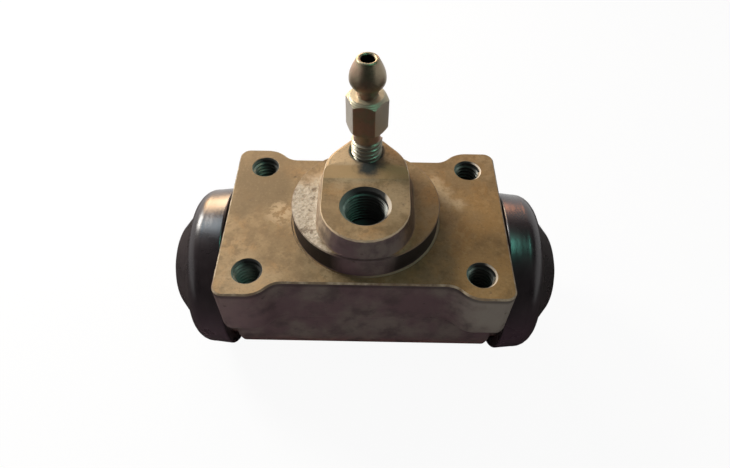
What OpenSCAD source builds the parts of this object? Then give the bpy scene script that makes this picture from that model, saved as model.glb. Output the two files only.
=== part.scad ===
// Drum-brake wheel cylinder. A cast-iron body is bolted up by its lobed flange. Two pistons with
// cup seals slide in its bore, a spring keeps them apart, and rubber boots close both ends.
// The origin is the centre of the mounting face. +Z points out of that face, +X runs along the
// bore, and the inlet lies towards -Y.

/* [Flange] */
// Length of the flange along the bore
flange_l = 72; // [68:0.5:78]
// Width of the flange between its lobes
flange_w = 42; // [41.8:0.1:44]
// Depth of the lobes below the mounting face
lobe_depth = 16.5; // [15:0.5:19]
// Radius of each lobe round its tapped hole
lobe_r = 7; // [6:0.1:8]
// Radius of the flange's outer corners
corner_r = 2.8; // [2.4:0.1:4]
// Radius of the hollow between a lobe and the straight side
hollow_r = 5; // [3:0.5:7]
// Spacing of the tapped holes along the bore
hole_dx = 56.5; // [52:0.5:58]
// Spacing of the tapped holes across the bore
hole_dy = 35.5; // [34:0.5:38]
// Tapping diameter of the mounting holes
hole_d = 6.8; // [5:0.1:7.5]
// Depth of the mounting holes
hole_depth = 12; // [8:0.5:13]

/* [Barrel] */
// Diameter of the cylinder bore
bore_d = 28.57; // [25:0.01:30]
// Depth of the bore's axis below the mounting face
bore_drop = 22.5; // [22:0.5:26]
// Outside diameter of the barrel
barrel_d = 41.6; // [40:0.1:41.7]
// Distance of the underside's centre below the bore's axis
barrel_low = 1.3; // [0:0.1:2]
// Distance of the barrel's end shoulders inside the ends of the flange
shoulder_in = 1.4; // [1:0.1:4]
// Reach of each neck beyond the end of the flange
neck_reach = 4.3; // [4.2:0.1:6]
// Diameter of the two necks that carry the boots
neck_d = 38; // [37:0.2:39]
// Diameter at the bottom of the boot grooves
groove_d = 34.6; // [33:0.2:36]
// Width of the boot grooves
groove_w = 2.2; // [1.8:0.1:2.6]
// Distance of the groove's middle from the end of the neck
groove_in = 2.1; // [2:0.1:2.3]
// Radius of the rounded edges that come from the mould
cast_r = 1.5; // [0.8:0.1:1.9]

/* [Pilot and boss] */
// Diameter of the pilot that centres the body in its backing plate
pilot_d = 37.2; // [36.5:0.1:40]
// Height of the pilot above the mounting face
pilot_h = 6.1; // [5:0.1:7]
// Width of the boss on the pilot
boss_w = 20.8; // [20:0.2:21.4]
// Height of the inlet face above the mounting face
inlet_h = 12; // [11:0.5:14]
// Width of the chamfer on the pilot's rim
pilot_edge = 0.25; // [0.15:0.05:0.5]
// Height of the bleed pad above the inlet face
pad_step = 1.5; // [0.5:0.1:2.5]
// Distance of the slope to the bleed pad behind the pilot's axis
slope_back = 1.7; // [0:0.1:2]
// Length of the slope from the inlet face to the bleed pad
slope_l = 3; // [0.6:0.1:3]
// Distance behind the pilot's axis where the boss's sides turn in
boss_turn = 4; // [3:0.1:4.2]
// Wall of the boss round the bleed screw's thread
bleed_wall = 2.2; // [2:0.1:2.6]
// Radius of the rounded edge of the bleed pad
pad_edge = 1; // [0.4:0.1:1.2]
// Depth of the boss's front behind the pilot's rim
boss_shy = 0.35; // [0.3:0.05:0.6]
// Distance of the inlet's axis in front of the pilot's axis
inlet_offset = 6.8; // [6:0.1:7.4]
// Distance of the bleed screw's axis behind the pilot's axis
bleed_offset = 10.4; // [10:0.1:11]
// Sideways spread of the boss's walls from its faces to its foot
boss_draft = 1.3; // [0.6:0.1:1.6]
// Radius of the fillet at the boss's foot
foot_r = 1.2; // [0.8:0.1:2]
// Width of the chamfer on machined rims
rim = 0.4; // [0.2:0.1:0.6]

/* [Fluid passages] */
// Tapping diameter of the inlet
inlet_d = 10.9; // [9:0.1:11.5]
// Depth of the inlet's thread
inlet_depth = 11; // [8:0.5:12]
// Depth of the countersink at the inlet
inlet_sink = 0.8; // [0.4:0.1:1.2]
// Depth of the countersink round the bleed screw
bleed_sink = 0.5; // [0.3:0.1:0.8]
// Diameter of the drilling from the inlet to the bore
feed_d = 4; // [3:0.1:6]
// Diameter of the drilling from the bleed seat to the bore
vent_d = 2.6; // [2:0.1:3]

/* [Bleed screw] */
// Diameter of the bleed screw's thread
bleed_d = 7.8; // [7:0.1:8]
// Length of thread below the bleed pad
bleed_in = 8; // [6:0.5:9]
// Length of the conical seat and the plain pin above it
seat_l = 3.4; // [3:0.1:4]
// Diameter of the plain pin above the seat
pin_d = 5.6; // [5.2:0.1:6]
// Diameter of the undercut between the thread and the hexagon
undercut_d = 6.6; // [6:0.1:6.8]
// Length of the undercut
undercut_l = 2.4; // [1.6:0.1:3]
// Height of the hexagon's underside above the bleed pad
hex_up = 7.5; // [6.5:0.5:9]
// Width of the hexagon across its flats
hex_af = 9; // [8:0.1:10]
// Height of the hexagon
hex_h = 9.9; // [8:0.1:11]
// Height of the cone that rounds off the hexagon's corners at each end
hex_bevel = 1.2; // [0.6:0.1:1.6]
// Turn of the hexagon about its axis
hex_turn = 51; // [0:1:59]
// Height of the hose nipple above the hexagon
nipple_h = 9.4; // [8.4:0.1:10]
// Diameter of the nipple's bulb
bulb_d = 8.4; // [7.4:0.1:8.8]
// Depth of the bulb's widest place below the tip
bulb_down = 4.4; // [3.8:0.1:4.6]
// Height of the bulb below its widest place
bulb_l = 3.4; // [2.6:0.1:3.5]
// Diameter of the nipple's tip
tip_d = 4.9; // [4.4:0.1:5.4]
// Diameter of the nipple's neck
nipple_d = 5.1; // [4.6:0.1:5.6]
// Diameter of the hole up the nipple
drain_d = 3; // [1.6:0.1:3.2]

/* [Pistons and seals] */
// Length of each piston's guiding land
piston_l = 23.4; // [20:0.2:24]
// Diameter of each piston's stem
stem_d = 12; // [11:0.2:13]
// Width of the slot for the brake shoe's web
slot_w = 6.4; // [5:0.2:7]
// Depth of the slot for the brake shoe's web
slot_depth = 9; // [6:0.5:10]
// Depth of each stem's end below the boot's nose
stem_sink = 0.9; // [0.2:0.1:1.2]
// Thickness of the cup seals at their base
cup_base = 3; // [2.5:0.1:4]
// Length of the cup seals' lips
cup_lip = 5; // [4:0.1:6]
// Thickness of the lips where they meet the base
cup_wall = 3; // [2.6:0.1:3.4]
// Thickness of the pressed-steel spring seats
seat_t = 1; // [0.8:0.1:1.4]
// Length of the return spring between its seats
spring_l = 21.6; // [18:0.2:23]
// Outside diameter of the return spring
spring_d = 16; // [14:0.2:17]
// Diameter of the spring's wire
wire_d = 1.5; // [1.2:0.1:1.8]
// Number of turns in the spring
spring_turns = 7; // [5:1:8]

/* [Boots] */
// Thickness of each boot's skirt round the neck
skirt_wall = 3.2; // [2.8:0.1:3.6]
// Thickness of each boot's shoulder and nose
nose_wall = 2; // [1.6:0.1:2.2]
// Radius of the skirt's rounded edge
skirt_edge = 0.8; // [0.4:0.1:1.2]
// Narrowing of the skirt from its edge to the shoulder
skirt_taper = 0.6; // [0.2:0.1:1]
// Reach of each boot's nose beyond the end of the neck
boot_reach = 12.8; // [12.4:0.1:14]
// Gap between the end of the flange and the edge of a boot
boot_gap = 0.4; // [0.2:0.1:0.8]
// Radius of each boot's shoulder
shoulder_r = 4.4; // [3.8:0.1:5]
// Distance of the shoulder's centre beyond the end of the neck
shoulder_out = 1.7; // [1.2:0.1:1.9]
// Lean of the face between the shoulder and the nose
face_lean = 18; // [14:1:22]
// Diameter of the crease where the nose leaves that face
crease_d = 33.6; // [32.5:0.1:34]
// Distance of the crease beyond the end of the neck
crease_out = 6.4; // [6.2:0.1:6.8]
// Radius of the nose's rounded edge
nose_r = 4.3; // [3.8:0.1:4.8]
// Diameter of the circle that the nose's rounded edge is centred on
nose_d = 18; // [17.4:0.1:18.8]
// Distance of that circle beyond the end of the neck
nose_out = 7.2; // [7:0.1:7.5]
// Lean of the nose's side from the bore's axis
side_lean = 45; // [40:1:50]
// Lean of the nose's end from a flat face
end_lean = 19; // [16:1:24]

/* [Clearances] */
// Clearance round the pistons and the cup seals
slide_clear = 0.05; // [0.02:0.01:0.08]
// Clearance round the bleed screw's thread and at its seat
thread_clear = 0.05; // [0.02:0.01:0.08]
// Clearance between the boots and what they fit on
boot_clear = 0.2; // [0.1:0.05:0.3]
// Gap between the pieces that press on each other along the bore
stack_gap = 0.1; // [0.05:0.05:0.2]

/* [Hidden] */
$fn = 64;
arc_steps = 8;
over = 1;
trim = 0.4;
drill_point = 0.25;
drill_flat = 0.6;

bore_r = bore_d / 2;
neck_r = neck_d / 2;
neck_end = flange_l / 2 + neck_reach;
barrel_end = flange_l / 2 - shoulder_in;
pad_h = inlet_h + pad_step;
boss_r = boss_w / 2;
piston_r = bore_r - slide_clear;
seat_in = spring_l / 2 + stack_gap;
cup_in = seat_in + seat_t + stack_gap;
piston_in = cup_in + cup_base + stack_gap;
boot_start = flange_l / 2 + boot_gap;
skirt_r = neck_r + boot_clear;
boot_r = skirt_r + skirt_wall;
boot_end = neck_end + boot_reach;
boot_hole_r = stem_d / 2 + boot_clear;

// Points along an arc, from angle a0 to angle a1, without its first point if skip is 1
function arc(centre, r, a0, a1, skip = 0) = [
    for (i = [skip:arc_steps])
        let (a = a0 + (a1 - a0) * i / arc_steps) centre + r * [cos(a), sin(a)]
];

function reversed(points) = [for (i = [len(points) - 1:-1:0]) points[i]];

function mirrored(points, sx, sy) = [for (p = points) [sx * p.x, sy * p.y]];

function raised(points, z) = [for (p = points) [p.x, p.y, z]];

// One quarter of the flange's outline: outer corner, lobe, and the hollow beside the lobe
function flange_quarter(inset) =
    let (
        lobe = [hole_dx, hole_dy] / 2,
        hollow_y = flange_w / 2 + hollow_r,
        hollow = [lobe.x - sqrt((lobe_r + hollow_r) ^ 2 - (hollow_y - lobe.y) ^ 2), hollow_y],
        meet = atan2(hollow.y - lobe.y, hollow.x - lobe.x),
        corner = [flange_l / 2 - corner_r, lobe.y + lobe_r - corner_r]
    )
    concat(
        arc(corner, corner_r - inset, 0, 90),
        arc(lobe, lobe_r - inset, 90, meet),
        arc(hollow, hollow_r + inset, meet - 180, -90, 1)
    );

function flange_outline(inset) =
    let (quarter = flange_quarter(inset), back = reversed(quarter))
    concat(quarter, mirrored(back, -1, 1), mirrored(quarter, -1, -1), mirrored(back, 1, -1));

// Section of the barrel: a half round underside and straight walls up into the flange
function barrel_outline(inset) =
    let (r = barrel_d / 2 - inset, top = -lobe_depth / 2, centre = [0, -bore_drop - barrel_low])
    concat([[-r, top]], arc(centre, r, 180, 270), arc(centre, r, 270, 360, 1), [[r, top]]);

// Outline of the boss: round at the inlet, straight sides, and narrower round the bleed screw
function boss_outline(spread) =
    let (
        front = [0, -inlet_offset],
        turn = [0, boss_turn],
        back = [0, bleed_offset],
        back_r = bleed_d / 2 + bleed_wall,
        lean = asin((boss_r - back_r) / (bleed_offset - boss_turn))
    )
    concat(
        arc(front, boss_r + spread, 180, 270),
        arc(front, boss_r + spread, 270, 360, 1),
        arc(turn, boss_r + spread, 0, lean),
        arc(back, back_r + spread, lean, 90),
        arc(back, back_r + spread, 90, 180 - lean, 1),
        arc(turn, boss_r + spread, 180 - lean, 180)
    );

// Insets and heights that round an edge of radius r, from just past its end face inwards
function edge_steps(r) =
    let (slope = (1 - cos(22.5)) / sin(22.5))
    concat(
        [[r + trim, -slope * trim]],
        [for (a = [22.5:22.5:90]) [r - r * sin(a), r - r * cos(a)]]
    );

// Spreads and heights of a hollow fillet of radius r
function foot_steps(r) = [for (a = [0:22.5:90]) [r - r * sin(a), r - r * cos(a)]];

// Solid through a stack of outlines that all have the same number of points
module loft(rings) {
    n = len(rings[0]);
    last = len(rings) - 1;
    points = [for (ring = rings) each ring];
    sides = [
        for (j = [0:last - 1], i = [0:n - 1])
            let (k = (i + 1) % n) [j * n + i, (j + 1) * n + i, (j + 1) * n + k, j * n + k]
    ];
    caps = [[for (i = [0:n - 1]) i], [for (i = [n - 1:-1:0]) last * n + i]];
    polyhedron(points, concat(sides, caps));
}

// Moves a shape made along +Z onto the bore's axis, pointing along +X or, for the left end, -X
module along_bore(side = 1) {
    translate([0, 0, -bore_drop]) rotate([0, side * 90, 0]) children();
}

// Drill for a hole with its mouth at z = 0 and a pointed end
module drill(d, depth) {
    translate([0, 0, -depth]) cylinder(d = d, h = depth + over);
    translate([0, 0, -depth - drill_point * d]) cylinder(d1 = drill_flat, d2 = d, h = drill_point * d);
}

module countersink(d, depth) {
    translate([0, 0, -depth]) cylinder(d1 = d, d2 = d + 2 * (depth + over), h = depth + over);
}

// The lobed block, rounded below by the mould and chamfered where its top face was machined
module flange_block() {
    intersection() {
        loft(concat(
            [for (s = edge_steps(cast_r)) raised(flange_outline(s[0]), s[1] - lobe_depth)],
            [raised(flange_outline(0), -rim), raised(flange_outline(over), over - rim)]
        ));
        translate([-flange_l, -flange_l, -lobe_depth]) cube([2 * flange_l, 2 * flange_l, lobe_depth]);
    }
}

// The barrel between its shoulders, with rounded ends
module barrel_block() {
    ends = edge_steps(cast_r);
    intersection() {
        rotate([90, 0, 90]) loft(concat(
            [for (s = ends) raised(barrel_outline(s[0]), s[1] - barrel_end)],
            [for (s = reversed(ends)) raised(barrel_outline(s[0]), barrel_end - s[1])]
        ));
        cube([2 * barrel_end, 2 * flange_l, 2 * flange_l], center = true);
    }
}

// One grooved neck, from inside the barrel to the end of the bore
module neck(side) {
    groove = neck_end - groove_in;
    along_bore(side) rotate_extrude() polygon([
        [bore_r - over, barrel_end - over],
        [neck_r, barrel_end - over],
        [neck_r, groove - groove_w / 2],
        [groove_d / 2, groove - groove_w / 2],
        [groove_d / 2, groove + groove_w / 2],
        [neck_r, groove + groove_w / 2],
        [neck_r, neck_end - rim],
        [neck_r - rim, neck_end],
        [bore_r - over, neck_end]
    ]);
}

module pilot() {
    rotate_extrude() polygon([
        [0, -over],
        [pilot_d / 2, -over],
        [pilot_d / 2, pilot_h - pilot_edge],
        [pilot_d / 2 - pilot_edge, pilot_h],
        [0, pilot_h]
    ]);
}

// The boss with its filleted foot, trimmed to the pilot, and sloping down to the inlet face
module boss() {
    intersection() {
        loft(concat(
            [raised(boss_outline(boss_draft + foot_r), pilot_h - over)],
            [for (s = foot_steps(foot_r)) raised(boss_outline(boss_draft + s[0]), pilot_h + s[1])],
            [for (s = reversed(edge_steps(pad_edge))) raised(boss_outline(-s[0]), pad_h - s[1])]
        ));
        cylinder(d = pilot_d - 2 * boss_shy, h = pad_h + over);
        rotate([90, 0, 90]) linear_extrude(2 * pilot_d, center = true) polygon([
            [-pilot_d, 0],
            [pilot_d, 0],
            [pilot_d, pad_h],
            [slope_back + slope_l, pad_h],
            [slope_back, inlet_h],
            [-pilot_d, inlet_h]
        ]);
    }
}

module cylinder_body() {
    bleed_hole_d = bleed_d + 2 * thread_clear;
    color([0.42, 0.36, 0.25])
    difference() {
        union() {
            flange_block();
            barrel_block();
            neck(1);
            neck(-1);
            pilot();
            boss();
        }
        along_bore() cylinder(d = bore_d, h = 2 * neck_end + 2 * over, center = true);
        for (x = [-1, 1], y = [-1, 1])
            translate([x * hole_dx / 2, y * hole_dy / 2, 0]) drill(hole_d, hole_depth);
        translate([0, -inlet_offset, inlet_h]) {
            drill(inlet_d, inlet_depth);
            countersink(inlet_d, inlet_sink);
        }
        translate([0, -inlet_offset, -bore_drop]) cylinder(d = feed_d, h = bore_drop + inlet_h - inlet_depth);
        translate([0, bleed_offset, pad_h]) {
            drill(bleed_hole_d, bleed_in + seat_l);
            countersink(bleed_hole_d, bleed_sink);
        }
        translate([0, bleed_offset, -bore_drop]) cylinder(d = vent_d, h = bore_drop + pad_h - bleed_in);
    }
}

// Points from the bulb's widest place to a smaller radius, curving in by a power of the way
function bulb_side(z, end_r, end_z, power) = [
    for (i = [1:arc_steps])
        let (t = i / arc_steps) [bulb_d / 2 - (bulb_d / 2 - end_r) * t ^ power, z + (end_z - z) * t]
];

// Outside of the bleed screw below and above its hexagon, as radius and height above the bleed pad
function bleed_profile() =
    let (
        thread_r = bleed_d / 2,
        lead = thread_r - pin_d / 2,
        runout = thread_r - undercut_d / 2,
        bottom = -bleed_in - seat_l + thread_clear,
        tip = hex_up + hex_h + nipple_h,
        bulb_z = tip - bulb_down
    )
    concat(
        [
            [0, bottom],
            [vent_d / 2 - thread_clear, bottom],
            [pin_d / 2, -bleed_in - seat_l / 2],
            [pin_d / 2, -bleed_in],
            [thread_r, -bleed_in + lead],
            [thread_r, hex_up - undercut_l - runout],
            [undercut_d / 2, hex_up - undercut_l],
            [undercut_d / 2, hex_up + over],
            [nipple_d / 2, hex_up + over]
        ],
        reversed(bulb_side(bulb_z, nipple_d / 2, bulb_z - bulb_l, 3)),
        [[bulb_d / 2, bulb_z]],
        bulb_side(bulb_z, tip_d / 2, tip, 1.5),
        [[0, tip]]
    );

// Hexagon with both ends turned to a cone, as on a bar-turned screw
module bleed_hexagon() {
    corner = hex_af / cos(30) / 2;
    face_r = hex_af / 2 - hex_bevel / 2;
    slope = (corner - face_r) / hex_bevel;
    wide_r = corner + slope * hex_bevel;
    intersection() {
        cylinder(r = corner, h = hex_h, $fn = 6);
        rotate_extrude() polygon([
            [0, 0],
            [face_r, 0],
            [wide_r, 2 * hex_bevel],
            [wide_r, hex_h - 2 * hex_bevel],
            [face_r, hex_h],
            [0, hex_h]
        ]);
    }
}

module bleed_screw() {
    tip = hex_up + hex_h + nipple_h;
    cross_z = -bleed_in - seat_l / 4;
    color([0.70, 0.66, 0.48])
    translate([0, bleed_offset, pad_h])
    difference() {
        union() {
            rotate_extrude() polygon(bleed_profile());
            translate([0, 0, hex_up]) rotate([0, 0, hex_turn]) bleed_hexagon();
        }
        translate([0, 0, cross_z]) cylinder(d = drain_d, h = tip - cross_z + over);
        translate([0, 0, tip - rim]) cylinder(d1 = drain_d, d2 = drain_d + 2 * (rim + over), h = rim + over);
        translate([0, 0, cross_z]) rotate([90, 0, 0]) cylinder(d = pin_d / 4, h = pin_d + over, center = true);
    }
}

// Centre of the spring's wire at a share t of its length, with one closed turn at each end
function coil_point(t) =
    let (
        turn = t * spring_turns,
        free = spring_l - 3 * wire_d,
        open = min(max((turn - 1) / (spring_turns - 2), 0), 1),
        closed = wire_d * (min(turn, 1) + max(turn - spring_turns + 1, 0)),
        r = (spring_d - wire_d) / 2
    )
    [
        r * cos(360 * turn),
        r * sin(360 * turn),
        closed + open * free - (spring_l - wire_d) / 2
    ];

module return_spring() {
    steps = 20 * spring_turns;
    sides = 8;
    color([0.45, 0.45, 0.47])
    along_bore()
    loft([
        for (i = [0:steps])
            let (c = coil_point(i / steps), turn = 360 * spring_turns * i / steps)
            [
                for (k = [0:sides - 1])
                    let (a = -360 * k / sides, out = wire_d / 2 * cos(a))
                    c + [out * cos(turn), out * sin(turn), wire_d / 2 * sin(a)]
            ]
    ]);
}

// Dished steel seat that spreads the cup's lip and centres the end of the spring
module spring_seat(side) {
    dish_r = piston_r - cup_wall - stack_gap;
    collar_r = spring_d / 2 + stack_gap;
    color([0.62, 0.60, 0.52])
    along_bore(side) rotate_extrude() polygon([
        [collar_r / 2, seat_in],
        [collar_r, seat_in],
        [collar_r + seat_t / 2, seat_in - 2 * seat_t],
        [collar_r + seat_t * 1.4, seat_in - 2 * seat_t],
        [dish_r, seat_in],
        [dish_r, seat_in + seat_t],
        [collar_r / 2, seat_in + seat_t]
    ]);
}

// Rubber cup: a thick base on the piston and a lip that opens towards the fluid
module cup_seal(side) {
    mouth = cup_in - cup_lip;
    color([0.06, 0.06, 0.06])
    along_bore(side) rotate_extrude() polygon([
        [0, cup_in],
        [piston_r - cup_wall, cup_in],
        [piston_r - cup_wall / 3, mouth],
        [piston_r, mouth + rim],
        [piston_r, cup_in],
        [piston_r - rim, cup_in + cup_base],
        [0, cup_in + cup_base]
    ]);
}

// Piston with a guiding land and a slotted stem that takes the web of the brake shoe
module piston(side) {
    land_end = piston_in + piston_l;
    stem_end = boot_end - stem_sink;
    stem_r = stem_d / 2;
    color([0.55, 0.56, 0.58])
    along_bore(side)
    difference() {
        rotate_extrude() polygon([
            [0, piston_in],
            [piston_r - rim, piston_in],
            [piston_r, piston_in + rim],
            [piston_r, land_end - rim],
            [piston_r - rim, land_end],
            [stem_r + rim, land_end],
            [stem_r, land_end + rim],
            [stem_r, stem_end - rim],
            [stem_r - rim, stem_end],
            [0, stem_end]
        ]);
        translate([-slot_w / 2, -stem_d, stem_end - slot_depth]) cube([slot_w, 2 * stem_d, slot_depth + over]);
    }
}

// Profile of a boot's outer or inner face from its shoulder to its nose, as radius and reach
function boot_face(wall) =
    let (
        shoulder = [boot_r - skirt_taper - shoulder_r, neck_end + shoulder_out],
        crease = [crease_d / 2, neck_end + crease_out],
        inward = (90 - face_lean + side_lean) / 2,
        nose = [nose_d / 2, neck_end + nose_out]
    )
    concat(
        arc(shoulder, shoulder_r - wall, 0, 90 - face_lean),
        [crease - wall * [cos(inward), sin(inward)]],
        arc(nose, nose_r - wall, side_lean, 90 - end_lean),
        [[boot_hole_r, boot_end - wall / cos(end_lean)]]
    );

// Rubber boot: a skirt snapped into the neck's groove, a round shoulder and a nose round the stem
module boot(side) {
    groove = neck_end - groove_in;
    lip = groove_w / 2 - boot_clear;
    lip_r = groove_d / 2 + boot_clear;
    color([0.05, 0.05, 0.05])
    along_bore(side) rotate_extrude() polygon(concat(
        [[skirt_r, boot_start]],
        arc([boot_r - skirt_edge, boot_start + skirt_edge], skirt_edge, -90, 0),
        boot_face(0),
        reversed(boot_face(nose_wall)),
        [
            [skirt_r, groove + lip],
            [lip_r, groove + lip],
            [lip_r, groove - lip],
            [skirt_r, groove - lip]
        ]
    ));
}

module left_spring_seat() { spring_seat(-1); }
module right_spring_seat() { spring_seat(1); }
module left_cup_seal() { cup_seal(-1); }
module right_cup_seal() { cup_seal(1); }
module left_piston() { piston(-1); }
module right_piston() { piston(1); }
module left_boot() { boot(-1); }
module right_boot() { boot(1); }

cylinder_body();
bleed_screw();
return_spring();
left_spring_seat();
right_spring_seat();
left_cup_seal();
right_cup_seal();
left_piston();
right_piston();
left_boot();
right_boot();
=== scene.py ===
# Drum-brake wheel cylinder: an oiled iron casting with a bleed screw, pistons, cup seals and rubber boots.
# Lengths are written in millimetres times mm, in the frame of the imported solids.
import math

import bmesh
import bpy
from mathutils import Matrix, Vector


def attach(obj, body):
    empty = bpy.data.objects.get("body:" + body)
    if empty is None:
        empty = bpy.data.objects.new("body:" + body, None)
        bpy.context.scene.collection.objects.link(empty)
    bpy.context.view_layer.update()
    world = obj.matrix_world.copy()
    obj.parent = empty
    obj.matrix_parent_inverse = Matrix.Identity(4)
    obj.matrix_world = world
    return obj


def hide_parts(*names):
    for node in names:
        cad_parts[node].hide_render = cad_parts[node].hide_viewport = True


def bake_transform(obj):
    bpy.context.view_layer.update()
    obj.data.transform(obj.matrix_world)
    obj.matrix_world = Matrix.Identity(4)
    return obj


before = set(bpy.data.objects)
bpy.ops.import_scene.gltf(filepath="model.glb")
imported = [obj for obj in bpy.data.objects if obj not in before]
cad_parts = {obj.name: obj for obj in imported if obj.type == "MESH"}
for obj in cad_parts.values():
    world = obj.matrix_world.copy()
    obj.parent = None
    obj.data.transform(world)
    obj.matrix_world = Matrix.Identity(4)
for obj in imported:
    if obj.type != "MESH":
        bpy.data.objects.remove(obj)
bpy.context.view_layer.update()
mm = 0.001


# The body is one iron casting. Its flange, pilot and boss faces were milled, the rest is as it left
# the sand mould, and all of it is brown with old preserving oil. Four tapped holes bolt it up.
class Wire:
    """One output in a finish's node tree. Sums on it become Math nodes in the same tree."""

    def __init__(self, tree, socket):
        self.tree = tree
        self.socket = socket

    def node(self, kind, settings, sockets, output=0):
        made = self.tree.nodes.new(kind)
        for name, value in settings.items():
            setattr(made, name, value)
        for name, value in sockets.items():
            if isinstance(value, Wire):
                self.tree.links.new(value.socket, made.inputs[name])
            else:
                made.inputs[name].default_value = value
        return Wire(self.tree, made.outputs[output])

    def maths(self, operation, first, second=0.0):
        return self.node("ShaderNodeMath", {"operation": operation}, {0: first, 1: second})

    def __add__(self, other):
        return self.maths("ADD", self, other)

    def __sub__(self, other):
        return self.maths("SUBTRACT", self, other)

    def __rsub__(self, other):
        return self.maths("SUBTRACT", other, self)

    def __mul__(self, other):
        return self.maths("MULTIPLY", self, other)

    def __abs__(self):
        return self.maths("ABSOLUTE", self)

    __radd__ = __add__
    __rmul__ = __mul__

    def most(self, other):
        """The larger of two values."""
        return self.maths("MAXIMUM", self, other)

    def capped(self):
        """The value, held at 1 where it is larger."""
        return self.maths("MINIMUM", self, 1.0)

    def reach(self, other):
        """The distance from an axis, of two coordinates that are 0 on it."""
        return self.maths("SQRT", self * self + other * other)

    def rises(self, low, high):
        """0 below low and 1 above high, with a smooth step between them."""
        ends = {"Value": self, "From Min": low, "From Max": high}
        return self.node("ShaderNodeMapRange", {"interpolation_type": "SMOOTHSTEP"}, ends)

    def noise(self, size, detail=4.0, roughness=0.55):
        """Cloudy noise on these coordinates, with lumps of the given size."""
        sockets = {"Vector": self, "Scale": 1.0 / size, "Detail": detail, "Roughness": roughness}
        return self.node("ShaderNodeTexNoise", {}, sockets)

    def pits(self, size):
        """Distance to the nearest of many scattered points, in shares of their spacing."""
        return self.node("ShaderNodeTexVoronoi", {}, {"Vector": self, "Scale": 1.0 / size})

    def spot(self, place, size, ragged):
        """1 at a place given in millimetres, fading to 0 at the given distance with a ragged edge."""
        ends = {0: self, 1: tuple(part * mm for part in place)}
        away = self.node("ShaderNodeVectorMath", {"operation": "DISTANCE"}, ends, 1)
        return 1 - (away + (ragged - 0.5) * (size * mm)).rises(0.25 * size * mm, size * mm)

    def axes(self):
        """The three parts of a vector."""
        parts = self.tree.nodes.new("ShaderNodeSeparateXYZ")
        self.tree.links.new(self.socket, parts.inputs[0])
        return [Wire(self.tree, socket) for socket in parts.outputs]

    def outward(self):
        """The three parts of the way the surface faces."""
        return self.node("ShaderNodeNewGeometry", {}, {}, 1).axes()

    def tint(self, first, second):
        """A colour that goes from the first to the second as this value goes from 0 to 1."""
        sockets = {"Factor": self, 6: first, 7: second}
        return self.node("ShaderNodeMix", {"data_type": "RGBA"}, sockets, 2)

    def bump(self, height, under=None):
        """A normal that raises the surface by up to height where this value is 1."""
        sockets = {"Height": self, "Distance": height, "Strength": 1.0}
        if under:
            sockets["Normal"] = under
        return self.node("ShaderNodeBump", {}, sockets)


def finish(name, **fixed):
    """A new material, its shader with the given fixed values, and its object coordinates."""
    material = bpy.data.materials.new(name)
    material.use_nodes = True
    tree = material.node_tree
    shader = tree.nodes["Principled BSDF"]
    for socket, value in fixed.items():
        shader.inputs[socket.replace("_", " ")].default_value = value
    return material, shader, Wire(tree, tree.nodes.new("ShaderNodeTexCoord").outputs["Object"])


def feed(shader, **wires):
    """Links what changes over the surface to the shader's sockets."""
    for socket, wire in wires.items():
        wire.tree.links.new(wire.socket, shader.inputs[socket.replace("_", " ")])


def colour(red, green, blue):
    return (red, green, blue, 1.0)


def placed(name, shape, material):
    """Makes an object of a bmesh and puts it in the scene."""
    mesh = bpy.data.meshes.new(name)
    shape.to_mesh(mesh)
    shape.free()
    mesh.materials.append(material)
    made = bpy.data.objects.new(name, mesh)
    bpy.context.scene.collection.objects.link(made)
    return made


def piece(name, shape, material, body, crease=30):
    """Makes an object of a bmesh, smooth up to the crease angle, that moves with a body if one is named."""
    for face in shape.faces:
        face.smooth = True
    for edge in shape.edges:
        edge.smooth = edge.calc_face_angle(0) < math.radians(crease)
    made = placed(name, shape, material)
    if body:
        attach(made, body)
    return made


def turned(corners, steps=72, closed=False):
    """Spins corners of (radius, height, setback of the rounding) about Z into a closed skin."""
    shape = bmesh.new()
    points = [shape.verts.new((radius * mm, 0, height * mm)) for radius, height, _ in corners]
    for first, second in zip(points, points[1:] + points[:1] if closed else points[1:]):
        shape.edges.new((first, second))
    for point, (_, _, setback) in zip(points, corners):
        if setback:
            bmesh.ops.bevel(
                shape, geom=[point], offset=setback * mm, offset_type="OFFSET", segments=5, profile=0.5,
                affect="VERTICES", material=-1
            )
    bmesh.ops.spin(
        shape, geom=shape.verts[:] + shape.edges[:], cent=(0, 0, 0), axis=(0, 0, 1),
        angle=2 * math.pi, steps=steps, use_merge=True
    )
    bmesh.ops.remove_doubles(shape, verts=shape.verts, dist=0.002 * mm)
    bmesh.ops.recalc_face_normals(shape, faces=shape.faces)
    return shape


def add(shape, extra):
    """Copies one bmesh into another and frees it."""
    loose = bpy.data.meshes.new("loose")
    extra.to_mesh(loose)
    extra.free()
    shape.from_mesh(loose)
    bpy.data.meshes.remove(loose)


def solid(name):
    """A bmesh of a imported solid, with the doubles along its seams merged."""
    shape = bmesh.new()
    shape.from_mesh(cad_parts[name].data)
    bmesh.ops.remove_doubles(shape, verts=shape.verts, dist=0.002 * mm)
    return shape


casting, shader, at = finish("oiled_casting", IOR=1.5, Specular_IOR_Level=0.16)
x, y, z = at.axes()
side_on, facing, up = at.outward()
blotch = at.noise(16 * mm, 5.0, 0.6)
rust = at.noise(9 * mm, 6.0, 0.62)
stain = at.noise(6 * mm, 6.0, 0.62)
smear = at.noise(2.2 * mm, 5.0, 0.6)
grain = at.noise(0.8 * mm, 6.0, 0.7)
pit = (1 - at.pits(2.3 * mm).rises(0.05, 0.26)) * smear.rises(0.53, 0.62)

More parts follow.
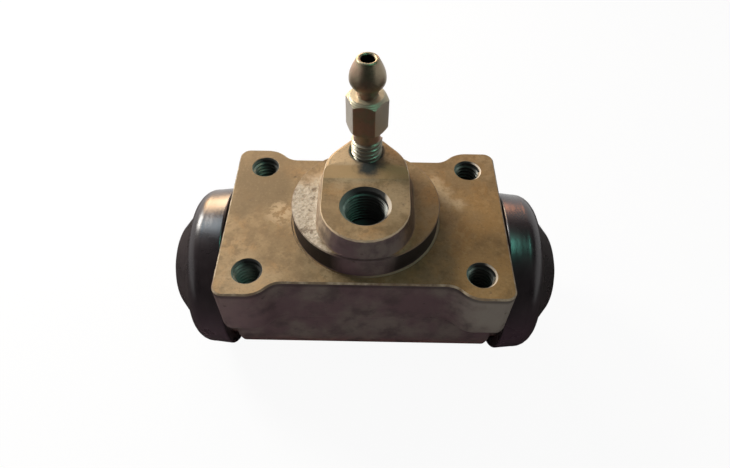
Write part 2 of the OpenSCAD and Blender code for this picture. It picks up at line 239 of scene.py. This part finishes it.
# Milled faces look up. The thin chamfer round the flange gets a painted highlight in patches.
level = up.rises(0.55, 0.82)
flange_edge = z.rises(-0.75 * mm, -0.3 * mm) * (1 - z.rises(0.02 * mm, 0.1 * mm))
edge = up.rises(0.25, 0.5) * (1 - up.rises(0.85, 0.97)) * flange_edge
edge = edge * (0.12 + 0.88 * stain.rises(0.40, 0.60) * smear.rises(0.30, 0.60))
# A thin line of painted shade runs on the walls just below the flange's top edge.
shade_line_under_edge = (1 - level) * z.rises(-2.0 * mm, -1.0 * mm) * (1 - z.rises(-0.6 * mm, -0.4 * mm))

# The left part of the pilot's top was left with the grit of the mould.
pilot_band = z.rises(5.4 * mm, 5.9 * mm) * (1 - z.rises(6.3 * mm, 8 * mm))
gritty = pilot_band * (1 - (x + smear * (10 * mm)).rises(-8 * mm, 0 * mm)) * up.rises(0.5, 0.8)
gritty = gritty * (1 - (y + stain * (12 * mm)).rises(8 * mm, 16 * mm))
# The front of the pilot's top, at the foot of the boss, is painted dark as shade.
shaded_ledge = pilot_band * (1 - y.rises(-17.6 * mm, -16.4 * mm))

# The oil is blotchy, with brown smudges, rusty clouds and rubbed streaks.
face_tone = blotch.rises(0.36, 0.64).tint(colour(0.205, 0.138, 0.066), colour(0.305, 0.214, 0.112))
face_tone = (rust.rises(0.48, 0.66) * 0.7).tint(face_tone, colour(0.270, 0.150, 0.054))
face_tone = (stain.rises(0.48, 0.66) * 0.8).tint(face_tone, colour(0.160, 0.105, 0.048))
face_tone = (smear.rises(0.48, 0.62) * 0.75).tint(face_tone, colour(0.165, 0.110, 0.052))
# The right of the flange is painted darker as shade, with orange clouds and lighter patches of its own.
shade = x.rises(-6 * mm, 26 * mm) * (1 - z.rises(5 * mm, 8 * mm)) * (1 - 0.7 * y.rises(6 * mm, 17 * mm))
face_tone = (shade * 0.52).tint(face_tone, colour(0.160, 0.087, 0.027))
face_tone = (shade * rust.rises(0.44, 0.60) * 0.45).tint(face_tone, colour(0.310, 0.170, 0.055))
face_tone = (shade * smear.rises(0.50, 0.62) * 0.3).tint(face_tone, colour(0.42, 0.28, 0.13))
dull_rear = y.rises(0, 14 * mm) * (1 - x.rises(-25 * mm, -14 * mm))
face_tone = (dull_rear * 0.7).tint(face_tone, colour(0.120, 0.084, 0.040))
smudge = at.spot((-25.7, 8.0, 0), 10, stain) + at.spot((-33, 3, 0), 6, stain)
smudge = smudge + at.spot((-30, 13, 0), 10, stain)
face_tone = (smudge.capped() * 0.74).tint(face_tone, colour(0.120, 0.084, 0.040))
rubbed_and_lit = at.spot((-22, 1, 0), 6, grain) * smear.rises(0.44, 0.56) + at.spot((-28, -20, 0), 9, stain) * 0.5
streak = at.spot((23.5, 5, 0), 4, smear) + at.spot((20.8, 8.6, 0), 4, smear)
streak = streak + at.spot((18.5, 12, 0), 4, smear)
rubbed_and_lit = rubbed_and_lit + streak * (0.25 + 0.75 * stain.rises(0.42, 0.56))
# The rear of the boss's pad and the right of the boss's top are painted lighter as light.
rubbed_and_lit = rubbed_and_lit + at.spot((-4, 7, 13.5), 10, stain) + at.spot((8, -4, 12), 9, stain) * 0.5
face_tone = (rubbed_and_lit.capped() * 0.75).tint(face_tone, colour(0.46, 0.345, 0.205))
golden = at.spot((29, -17, 0), 13, stain) + at.spot((34, 0, 0), 13, stain) * 0.8
face_tone = (golden.capped() * 0.55).tint(face_tone, colour(0.320, 0.190, 0.072))
face_tone = (grain.rises(0.53, 0.66) * 0.16).tint(face_tone, colour(0.42, 0.32, 0.19))
face_tone = (0.4 - 0.4 * grain.rises(0.34, 0.47)).tint(face_tone, colour(0.110, 0.075, 0.036))
# Faces above the inlet face that look to the front, up the slope to the bleed pad, are painted lighter as
# light.
lit_slope = z.rises(12.02 * mm, 12.2 * mm) * (1 - facing.rises(-0.3, -0.1))
face_tone = (lit_slope * 0.85).tint(face_tone, colour(0.46, 0.285, 0.130))
sand = grain.rises(0.30, 0.66).tint(colour(0.37, 0.300, 0.215), colour(0.62, 0.545, 0.435))
sand = (smear.rises(0.54, 0.66) * 0.8).tint(sand, colour(0.17, 0.125, 0.085))
face_tone = gritty.tint(face_tone, sand)
face_tone = shaded_ledge.tint(face_tone, colour(0.080, 0.052, 0.050))

# Walls are plum brown where they face the front, rusty on the sides of the boss, and painted black as
# shade round the sides of the pilot.
wall_tone = blotch.rises(0.38, 0.62).tint(colour(0.150, 0.092, 0.096), colour(0.200, 0.158, 0.136))
wall_tone = z.rises(-33 * mm, -25 * mm).tint(colour(0.220, 0.092, 0.082), wall_tone)
wall_tone = (stain.rises(0.46, 0.68) * 0.75).tint(wall_tone, colour(0.090, 0.062, 0.060))
wall_tone = (at.spot((33, -22, -5), 15, stain) * 0.8).tint(wall_tone, colour(0.330, 0.290, 0.240))
wall_tone = (at.spot((-33, -22, -7), 13, stain) * 0.7).tint(wall_tone, colour(0.230, 0.145, 0.145))
rusty_side = z.rises(5.8 * mm, 6.4 * mm) * facing.rises(-0.80, -0.40)
rusty_tone = stain.rises(0.4, 0.6).tint(colour(0.19, 0.115, 0.060), colour(0.09, 0.055, 0.03))
wall_tone = (rusty_side * 0.9).tint(wall_tone, rusty_tone)
# The boss's left-facing side gets painted highlight streaks.
lit_side = rusty_side * (1 - side_on.rises(-0.8, -0.4)) * (0.3 + 0.7 * smear.rises(0.34, 0.68))
wall_tone = (lit_side * 0.8).tint(wall_tone, colour(0.50, 0.38, 0.26))
shaded_pilot_wall = z.rises(0.1 * mm, 0.4 * mm) * (1 - z.rises(5.7 * mm, 5.95 * mm)) * facing.rises(-0.985, -0.89)
wall_tone = (shaded_pilot_wall * 0.92).tint(wall_tone, colour(0.014, 0.011, 0.010))
# The top of the boss's walls gets a painted highlight band.
boss_rim_highlight = z.rises(11.25 * mm, 11.55 * mm) * (0.6 + 0.4 * stain.rises(0.38, 0.58))
wall_tone = (boss_rim_highlight * 0.95).tint(wall_tone, colour(0.84, 0.65, 0.42))
tone = level.tint(wall_tone, face_tone)
tone = (edge * 0.85).tint(tone, colour(0.66, 0.54, 0.37))
tone = (shade_line_under_edge * 0.5).tint(tone, colour(0.030, 0.022, 0.018))
tone = (pit * 0.6).tint(tone, colour(0.070, 0.048, 0.030))
# A painted highlight runs round the right half of the relief at the pilot's foot.
groove_highlight = (1 - x.reach(y).rises(19.2 * mm, 19.5 * mm)) * (1 - z.rises(-0.06 * mm, -0.01 * mm))
groove_highlight = groove_highlight * z.rises(-1 * mm, -0.6 * mm) * x.rises(-6 * mm, 4 * mm)
tone = (groove_highlight * 0.7).tint(tone, colour(0.52, 0.42, 0.29))

# The holes and their chamfers are painted dark as shade. Walls that face right are painted green as
# light, most low in the holes on the left, and the right of some mouths gets a painted highlight.
bolt_x = 28.25 * mm
bolt_y = 17.75 * mm
inlet_place = -6.8 * mm
bleed_place = 10.4 * mm
bolt_hole = 1 - (abs(x) - bolt_x).reach(abs(y) - bolt_y).rises(3.8 * mm, 3.9 * mm)
bolt_hole = bolt_hole * (1 - z.rises(-0.1 * mm, -0.02 * mm)) * z.rises(-15 * mm, -14 * mm)
bolt_glint = (x - bolt_x).rises(0.8 * mm, 2.6 * mm) * z.rises(-0.55 * mm, -0.4 * mm)
inlet_y = y - inlet_place
inlet_hole = 1 - x.reach(inlet_y).rises(6.25 * mm, 6.4 * mm)
inlet_hole = inlet_hole * (1 - z.rises(11.9 * mm, 11.98 * mm)) * z.rises(-4 * mm, -3 * mm)
inlet_glint = x.rises(4.4 * mm, 5.4 * mm) * z.rises(11.1 * mm, 11.3 * mm)
inlet_glint = inlet_glint * inlet_y.rises(-3.4 * mm, -1.4 * mm)
bleed_hole_and_screw_shadow = 1 - x.reach(y - bleed_place).rises(4.3 * mm, 4.9 * mm)
bleed_hole_and_screw_shadow = bleed_hole_and_screw_shadow * z.rises(1 * mm, 2 * mm)
# A painted shadow of the bleed screw on the pad in front of it gets the same dark tone as the holes.
bleed_hole_and_screw_shadow = bleed_hole_and_screw_shadow.most(at.spot((1.0, 5.4, 13.4), 5, smear))
holes_and_screw_shadow = bolt_hole.most(inlet_hole).most(bleed_hole_and_screw_shadow)
hole_shade_and_green_light = side_on.rises(0.25, 0.9).tint(colour(0.036, 0.036, 0.033), colour(0.240, 0.350, 0.290))
green_light_low_left = (1 - x.rises(-2 * mm, 2 * mm)) * (1 - z.rises(-4.5 * mm, -1.5 * mm))
green_light_low_left = green_light_low_left * side_on.rises(-0.3, 0.4) * (1 - 0.55 * y.rises(-2 * mm, 2 * mm))
hole_shade_and_green_light = (bolt_hole * green_light_low_left * 0.9).tint(hole_shade_and_green_light, colour(0.480, 0.620, 0.530))
hole_shade_and_green_light = (bolt_hole * bolt_glint + inlet_hole * inlet_glint).tint(hole_shade_and_green_light, colour(0.62, 0.53, 0.42))
tone = holes_and_screw_shadow.tint(tone, hole_shade_and_green_light)

relief = (grain * 0.35 + blotch * 0.25).bump(0.14 * mm)
relief = (gritty * at.noise(0.9 * mm, 4.0, 0.7)).bump(0.5 * mm, relief)
relief = (1 - pit).bump(0.08 * mm, relief)
feed(
    shader,
    Base_Color=tone,
    Roughness=0.60 - 0.14 * stain + 0.2 * gritty - 0.06 * (1 - level),
    Metallic=level * 0.1 * (1 - gritty) * (1 - holes_and_screw_shadow),
    Normal=relief,
)

# The mouths of the bolt holes are chamfered, and a shallow relief runs round the foot of the pilot.
body_blank = piece("body_blank", solid("cylinder_body"), casting, "housing")
mouth_cutters = bmesh.new()
for place_x in (-bolt_x, bolt_x):
    for place_y in (-bolt_y, bolt_y):
        bmesh.ops.create_cone(
            mouth_cutters, cap_ends=True, segments=64, radius1=3.3 * mm, radius2=4.3 * mm, depth=1.0 * mm,
            matrix=Matrix.Translation((place_x, place_y, 0))
        )
relief_corners = [(18.57, -0.25, 0), (18.95, -0.25, 0), (19.4, 0.2, 0), (18.57, 0.2, 0)]
add(mouth_cutters, turned(relief_corners, 128, closed=True))
cutters = piece("mouth_cutters", mouth_cutters, casting, "housing")


def carved(blank, cutter, operation):
    """What is left of one object after another has cut it. Both objects are removed."""
    cut = blank.modifiers.new("cut", "BOOLEAN")
    cut.operation = operation
    cut.object = cutter
    mesh = bpy.data.meshes.new_from_object(blank.evaluated_get(bpy.context.evaluated_depsgraph_get()))
    shape = bmesh.new()
    shape.from_mesh(mesh)
    bpy.data.meshes.remove(mesh)
    for used in (blank, cutter):
        bpy.data.objects.remove(used)
    return shape


body_shape = carved(body_blank, cutters, "DIFFERENCE")
body = piece("body_casting", body_shape, casting, "housing", 34)
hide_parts("cylinder_body")
weights = body.modifiers.new("even_faces", "WEIGHTED_NORMAL")
weights.keep_sharp = True


# Threads are cut in the four bolt holes and the inlet. Each shows as a spiral ridge on the wall of
# its drilled hole, painted dark as shade, with painted green light on the flanks that face right.
def ridge(radius, height, pitch, top, turns, steps=40):
    """A spiral ridge round Z that rises from a radius by a height, inwards if that is negative."""
    shape = bmesh.new()
    foot = radius - math.copysign(0.1 * mm, height)
    crest = radius + height
    start = top - turns * pitch
    profile = ((foot, 0.42), (crest, 0.07), (crest, -0.07), (foot, -0.42))
    shape.faces.new([shape.verts.new((away, 0, start + share * pitch)) for away, share in profile])
    bmesh.ops.spin(
        shape, geom=shape.verts[:] + shape.edges[:] + shape.faces[:], cent=(0, 0, 0), axis=(0, 0, 1),
        dvec=(0, 0, pitch / steps), angle=2 * math.pi * turns, steps=int(steps * turns), use_merge=False
    )
    bmesh.ops.recalc_face_normals(shape, faces=shape.faces)
    return shape


thread_shade_and_green_light, shader, at = finish("thread_shade_and_green_light", IOR=1.5, Metallic=0.5)
film = at.noise(1.5 * mm, 5.0, 0.6)
side_on = at.outward()[0]
# Flanks that face right are painted green as light, and more so low in the holes on the left.
green = film.rises(0.35, 0.7).tint(colour(0.240, 0.350, 0.290), colour(0.480, 0.600, 0.510))
ridge_tone = side_on.rises(0.15, 0.75).tint(colour(0.064, 0.066, 0.058), green)
x, y, z = at.axes()
green_light_low_left = (1 - x.rises(-20 * mm, -10 * mm)) * (1 - z.rises(-4.5 * mm, -1.5 * mm))
green_light_low_left = green_light_low_left * side_on.rises(-0.3, 0.4) * (1 - 0.55 * y.rises(-2 * mm, 2 * mm))
ridge_tone = (green_light_low_left * 0.9).tint(ridge_tone, colour(0.500, 0.640, 0.550))
feed(
    shader,
    Base_Color=ridge_tone,
    Roughness=0.25 + 0.25 * film,
    Normal=at.noise(0.4 * mm).bump(0.02 * mm),
)
coarse_pitch = 1.25 * mm
fine_pitch = 1.0 * mm
for place_x in (-bolt_x, bolt_x):
    for place_y in (-bolt_y, bolt_y):
        spiral = ridge(3.4 * mm, -0.38 * mm, coarse_pitch, -0.9 * mm, 8)
        bmesh.ops.translate(spiral, verts=spiral.verts, vec=(place_x, place_y, 0))
        side = ("left" if place_x < 0 else "right") + ("_front" if place_y < 0 else "_rear")
        piece(side + "_bolt_thread", spiral, thread_shade_and_green_light, "housing")
spiral = ridge(5.45 * mm, -0.42 * mm, fine_pitch, 10.4 * mm, 8.8, 56)
bmesh.ops.translate(spiral, verts=spiral.verts, vec=(0, inlet_place, 0))
piece("inlet_thread", spiral, thread_shade_and_green_light, "housing")


# The bleed screw is turned from hexagon steel bar and plated with yellow zinc. Its cone seals the
# vent at the bottom of its hole, and a hose pushes over the bulb of its nipple.
zinc, shader, at = finish("yellow_zinc")
x, y, z = at.axes()
bloom = at.noise(4 * mm, 4.0, 0.55)
scuff = at.noise(0.8 * mm, 6.0, 0.65)
plate = bloom.rises(0.38, 0.62).tint(colour(0.42, 0.26, 0.20), colour(0.34, 0.28, 0.20))
plate = scuff.rises(0.55, 0.75).tint(plate, colour(0.32, 0.22, 0.15))
# The bore of the nipple is painted dark as shade.
shaded_bore = 1 - x.reach(y - bleed_place).rises(1.65 * mm, 1.9 * mm)
plate = (shaded_bore * (1 - z.rises(40.2 * mm, 40.4 * mm))).tint(plate, colour(0.030, 0.024, 0.012))
plate = (z.rises(39.4 * mm, 40.0 * mm) * (1 - shaded_bore)).tint(plate, colour(0.24, 0.20, 0.135))
shank_part = 1 - z.rises(17.6 * mm, 18.4 * mm)
plate = shank_part.tint(plate, colour(0.29, 0.27, 0.21))
ring_gap = 0.35 * mm
rings = z.maths("SINE", z * (2 * math.pi / ring_gap))

# The hexagon's left and right sides and the cone on top of it are painted paler as light, with little
# of the brown. The bulb above them is darker.
side_on, _, up = at.outward()
lit_hex_sides = abs(side_on).rises(0.5, 0.62)
lit_hex_sides = lit_hex_sides * z.rises(20 * mm, 21 * mm) * (1 - z.rises(31 * mm, 32 * mm))
plate = (lit_hex_sides * 0.8).tint(plate, colour(0.60, 0.55, 0.46))
plate = (z.rises(32 * mm, 33 * mm) * 0.45 * (1 - shaded_bore)).tint(plate, colour(0.24, 0.19, 0.115))
# The cone on top of the hexagon is painted paler as light.
lit_cone = up.rises(0.25, 0.6)
lit_cone = lit_cone * z.rises(28 * mm, 28.6 * mm) * (1 - z.rises(31 * mm, 31.4 * mm))
plate = lit_cone.tint(plate, colour(0.39, 0.35, 0.24))
feed(
    shader,
    Base_Color=plate,
    Metallic=0.85 - 0.4 * lit_cone - 0.3 * shank_part,
    Roughness=0.30 + 0.18 * scuff,
    Normal=(rings * 0.5 + scuff).bump(0.022 * mm),
)

pad = 13.5
shank = turned([
    (0, pad - 11.35, 0), (1.25, pad - 11.35, 0), (2.8, pad - 9.7, 0.2), (2.8, pad - 8, 0),
    (3.36, pad - 7.2, 0), (3.36, pad + 4.8, 0.3), (3.3, pad + 5.1, 0.1), (3.3, pad + 8.1, 0),
    (0, pad + 8.1, 0),
])
tip = pad + 26.8
nipple = turned([
    (0, pad + 15.6, 0), (1.6, pad + 15.6, 0), (1.6, tip - 0.3, 0), (1.9, tip, 0.08), (2.45, tip, 0.25),
    (3.63, tip - 2.25, 0.9), (4.3, tip - 4.2, 1.0), (4.2, tip - 6.1, 0.85),
    (2.55, tip - 7.9, 0.6), (2.55, pad + 17.2, 0.3), (0, pad + 17.0, 0),
], closed=True)
across_flats = 9
corner_r = across_flats / math.cos(math.pi / 6) / 2 * mm
hexagon = bmesh.new()
bmesh.ops.create_cone(
    hexagon, cap_ends=True, segments=6, radius1=corner_r, radius2=corner_r, depth=9.9 * mm
)
bmesh.ops.bevel(
    hexagon, geom=[e for e in hexagon.edges if abs(e.verts[0].co.z - e.verts[1].co.z) > mm],
    offset=0.18 * mm, offset_type="OFFSET", segments=3, profile=0.5, affect="EDGES", material=-1
)
hex_turn = Matrix.Rotation(math.radians(21), 3, "Z")
bmesh.ops.rotate(hexagon, verts=hexagon.verts, cent=(0, 0, 0), matrix=hex_turn)
bmesh.ops.translate(hexagon, verts=hexagon.verts, vec=(0, 0, (pad + 12.45) * mm))
cones = turned([
    (0, pad + 7.5, 0), (3.9, pad + 7.5, 0), (6.5, pad + 9.9, 0), (6.5, pad + 15.0, 0),
    (3.9, pad + 17.4, 0), (0, pad + 17.4, 0),
])
hex_piece = piece("bleed_hexagon", hexagon, zinc, "bleed_screw")
cone_piece = piece("bleed_cones", cones, zinc, "bleed_screw")
screw_shape = carved(hex_piece, cone_piece, "INTERSECT")
thread = ridge(3.36 * mm, 0.52 * mm, coarse_pitch, (pad + 4.4) * mm, 9.0, 48)
for part in (shank, nipple, thread):
    add(screw_shape, part)
bmesh.ops.translate(screw_shape, verts=screw_shape.verts, vec=(0, bleed_place, 0))
screw = piece("bleed_screw_turned", screw_shape, zinc, "bleed_screw", 25)
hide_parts("bleed_screw")


# The return spring is coiled from drawn steel wire with closed ends, and is cut into two halves.
drawn_wire, shader, at = finish("drawn_wire", Metallic=1.0)
die_mark = at.noise(1.2 * mm, 5.0, 0.6)
feed(
    shader,
    Base_Color=die_mark.rises(0.35, 0.7).tint(colour(0.16, 0.16, 0.165), colour(0.36, 0.35, 0.34)),
    Roughness=0.28 + 0.2 * die_mark,
    Normal=die_mark.bump(0.02 * mm),
)
for side, name in ((-1, "left"), (1, "right")):
    half = solid("return_spring")
    cut = bmesh.ops.bisect_plane(
        half, geom=half.verts[:] + half.edges[:] + half.faces[:], dist=0.0001 * mm, plane_co=(0, 0, 0),
        plane_no=(-side, 0, 0), clear_outer=True
    )
    bmesh.ops.edgeloop_fill(half, edges=[e for e in cut["geom_cut"] if isinstance(e, bmesh.types.BMEdge)])
    spring = piece(name + "_spring_half", half, drawn_wire, None, 50)
    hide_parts("return_spring")
    side * 10.8 * mm
    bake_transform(spring)


# The spring seats are pressed from sheet steel and zinc plated. They spread the lips of the cups.
pressed, shader, at = finish("pressed_steel", Metallic=1.0)
flow = at.noise(2.5 * mm, 5.0, 0.6)
feed(
    shader,
    Base_Color=flow.rises(0.35, 0.7).tint(colour(0.48, 0.46, 0.38), colour(0.64, 0.61, 0.52)),
    Roughness=0.3 + 0.2 * flow,
    Normal=at.noise(0.5 * mm).bump(0.01 * mm),
)
for name in ("left_spring_seat", "right_spring_seat"):
    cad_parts[name].material_slots[0].material = pressed


# The cup seals are moulded rubber, wet with brake fluid.
cup_rubber, shader, at = finish("cup_rubber", IOR=1.5)
film = at.noise(3 * mm, 4.0, 0.5)
feed(
    shader,
    Base_Color=film.rises(0.3, 0.7).tint(colour(0.010, 0.010, 0.010), colour(0.024, 0.023, 0.022)),
    Roughness=0.22 + 0.3 * film,
    Normal=at.noise(0.3 * mm).bump(0.01 * mm),
)
for name in ("left_cup_seal", "right_cup_seal"):
    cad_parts[name].material_slots[0].material = cup_rubber


# The pistons are turned from aluminium bar. The slot across each stem takes the web of a brake shoe.
turned_alloy, shader, at = finish("turned_alloy", Metallic=1.0)
x, y, z = at.axes()
bore_level = -22.5 * mm
tool_gap = 0.3 * mm
tool_marks = x.maths("SINE", (x + y.reach(z - bore_level)) * (2 * math.pi / tool_gap))
dull = at.noise(3 * mm, 5.0, 0.6)
feed(
    shader,
    Base_Color=dull.rises(0.3, 0.75).tint(colour(0.62, 0.63, 0.64), colour(0.40, 0.40, 0.39)),
    Roughness=0.26 + 0.22 * dull,
    Normal=(tool_marks * 0.5 + dull).bump(0.012 * mm),
)
for name in ("left_piston", "right_piston"):
    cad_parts[name].material_slots[0].material = turned_alloy


# The dust boots are moulded from black rubber. A lip inside the skirt snaps into the groove of the
# neck, and the nose grips the piston's stem.
boot_rubber, shader, at = finish("boot_rubber", IOR=1.5)
x, y, z = at.axes()
haze = at.noise(9 * mm, 5.0, 0.6)
speck = at.noise(0.5 * mm, 3.0, 0.7)
mould_gap = 0.8 * mm
mould_rings = x.maths("SINE", (abs(x) * 0.6 + y.reach(z - bore_level)) * (2 * math.pi / mould_gap))
rubber = haze.rises(0.35, 0.75).tint(colour(0.022, 0.016, 0.018), colour(0.040, 0.030, 0.032))
facing = at.outward()[1]
# The lower front of each boot is a lighter plum.
lower_front = (1 - z.rises(-24 * mm, -8 * mm)) * (1 - facing.rises(-0.9, -0.4))
rubber = lower_front.tint(rubber, colour(0.078, 0.045, 0.057))
rubber = (speck.rises(0.66, 0.8) * 0.5).tint(rubber, colour(0.055, 0.048, 0.042))
feed(
    shader,
    Base_Color=rubber,
    Roughness=0.20 + 0.16 * haze,
    Normal=(mould_rings * 0.12 + speck * 0.5 + haze).bump(0.03 * mm),
)
boot_corners = [
    (19.2, 36.4, 0.3), (22.4, 36.4, 0.75), (21.84, 41.6, 0.4), (21.8, 45.31, 3.2), (16.8, 46.7, 0.4),
    (10.95, 51.42, 1.0), (6.2, 53.1, 0.4), (6.2, 51.0, 0.3), (9.9, 49.7, 0.6), (15.75, 45.0, 0.4),
    (19.8, 43.8, 1.7), (19.2, 39.1, 0.2), (17.5, 39.1, 0.2), (17.5, 37.3, 0.2), (19.2, 37.3, 0.2),
]
for side, name in ((-1, "left"), (1, "right")):
    shape = turned(boot_corners, 128, closed=True)
    bmesh.ops.rotate(
        shape, verts=shape.verts, cent=(0, 0, 0), matrix=Matrix.Rotation(math.radians(side * 90), 3, "Y")
    )
    bmesh.ops.translate(shape, verts=shape.verts, vec=(0, 0, bore_level))
    boot = piece(name + "_boot_moulded", shape, boot_rubber, None, 40)
    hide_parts(name + "_boot")
    side * 40.5 * mm
    side * 50.5 * mm
    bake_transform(boot)


# A white sheet lies under the cylinder, in a soft white room. Both look whiter than the light that they
# give, and the sheet stays plain under the boots.
def seen(tree):
    """1 for what the camera sees straight, mirrored or through something, and 0 for all other light."""
    rays = tree.nodes.new("ShaderNodeLightPath").outputs
    seen_rays = [Wire(tree, rays["Is " + kind + " Ray"]) for kind in ("Camera", "Glossy", "Transmission")]
    return seen_rays[0].most(seen_rays[1]).most(seen_rays[2])


def blended(tree, share, first, second, end):
    """Sends the first shader to the end of a tree, and the second one where the share is 1."""
    mixed = tree.nodes.new("ShaderNodeMixShader")
    tree.links.new(share.socket, mixed.inputs[0])
    tree.links.new(first.outputs[0], mixed.inputs[1])
    tree.links.new(second.outputs[0], mixed.inputs[2])
    tree.links.new(mixed.outputs[0], tree.nodes[end].inputs["Surface"])


paper, shader, at = finish("white_paper", Base_Color=colour(0.80, 0.80, 0.80), Roughness=0.9)
tree = paper.node_tree
glow = tree.nodes.new("ShaderNodeEmission")
glow.inputs["Color"].default_value = colour(1, 1, 1)
x, y, _ = at.axes()
under = (1 - abs(x).rises(48 * mm, 52 * mm)) * (1 - abs(y).rises(6 * mm, 9 * mm))
blended(tree, seen(tree) * 0.94 * (1 - under), shader, glow, "Material Output")

floor_level = -44.9 * mm
sheet_shape = bmesh.new()
bmesh.ops.create_grid(sheet_shape, x_segments=1, y_segments=1, size=4.0)
bmesh.ops.translate(sheet_shape, verts=sheet_shape.verts, vec=(0, 0, floor_level))
white_sheet = placed("white_sheet", sheet_shape, paper)

world = bpy.data.worlds.new("soft_room")
bpy.context.scene.world = world
world.use_nodes = True
tree = world.node_tree
room = tree.nodes["Background"]
room.inputs["Color"].default_value = colour(0.96, 0.97, 1.0)
room.inputs["Strength"].default_value = 0.28
white = tree.nodes.new("ShaderNodeBackground")
white.inputs["Color"].default_value = colour(1, 1, 1)
white.inputs["Strength"].default_value = 1.0
blended(tree, seen(tree), room, white, "World Output")

# Two soft lamps light it all, one on the left and one behind like a window. Four coloured ones show only
# as glints. Each has its place, width, watts and colour, and whether it lights dull surfaces too.
lamps = (
    ("key_lamp", (-0.24, 0.16, 0.20), 0.10, 1.2, (1.0, 0.97, 0.92), True),
    ("window_lamp", (-0.10, 0.31, 0.14), 0.14, 0.55, (1.0, 0.88, 0.74), True),
    ("tan_glint", (-0.135, 0.30, 0.115), 0.16, 1.1, (1.0, 0.60, 0.27), False),
    ("right_glint", (0.11, 0.31, 0.13), 0.08, 0.19, (1.0, 0.36, 0.16), False),
    ("blue_glint", (-0.131, 0.125, 0.29), 0.12, 0.30, (0.70, 0.88, 1.0), False),
    ("green_glint", (0.10, -0.005, 0.335), 0.10, 0.34, (0.28, 1.0, 0.80), False),
)
for name, place, width, power, tint, lights_all in lamps:
    lamp = bpy.data.lights.new(name, "AREA")
    lamp.size = width
    lamp.energy = power
    lamp.color = tint
    holder = bpy.data.objects.new(name, lamp)
    holder.location = place
    aim = Vector((0, 0, -0.005)) - Vector(place)
    holder.rotation_euler = aim.to_track_quat("-Z", "Y").to_euler()
    holder.visible_diffuse = lights_all
    bpy.context.scene.collection.objects.link(holder)

# Black flags keep the white out of what the metal and the rubber mirror: three just above the sheet, in
# front and beside the boots, one behind the camera and one overhead. Each has its tilt, half its length
# and width, and its place.
black_card, _, _ = finish("black_card", Base_Color=colour(0.01, 0.01, 0.01), Roughness=1.0)
above_sheet = floor_level + 0.2 * mm
flags = (
    ("low_flag", 0, (0.64, 0.40), (0, -0.38, above_sheet)),
    ("left_flag", 0, (0.20, 0.04), (-0.272, 0.06, above_sheet)),
    ("right_flag", 0, (0.20, 0.04), (0.272, 0.06, above_sheet)),
    ("tall_flag", 60, (0.72, 0.45), (0, -0.50, 0.35)),
    ("high_flag", 0, (0.80, 0.50), (0, 0.05, 0.50)),
)
for name, tilt, half_sizes, place in flags:
    card_shape = bmesh.new()
    bmesh.ops.create_grid(card_shape, x_segments=1, y_segments=1, size=1.0)
    bmesh.ops.scale(card_shape, verts=card_shape.verts, vec=half_sizes + (1,))
    turn = Matrix.Rotation(math.radians(tilt), 3, "X")
    bmesh.ops.rotate(card_shape, verts=card_shape.verts, cent=(0, 0, 0), matrix=turn)
    bmesh.ops.translate(card_shape, verts=card_shape.verts, vec=place)
    card = placed(name, card_shape, black_card)
    card.visible_camera = False
    card.visible_diffuse = False
    card.visible_shadow = False
    card.visible_transmission = False

camera = bpy.data.cameras.new("camera")
camera.lens = 27.34
camera.sensor_width = 36
camera.clip_start = 0.01
holder = bpy.data.objects.new("camera", camera)
holder.location = (0.62 * mm, -93.83 * mm, 109.36 * mm)
holder.rotation_euler = (math.radians(38.848), math.radians(-0.439), math.radians(0.975))
bpy.context.scene.collection.objects.link(holder)
bpy.context.scene.camera = holder
bpy.context.scene.view_settings.view_transform = "Standard"
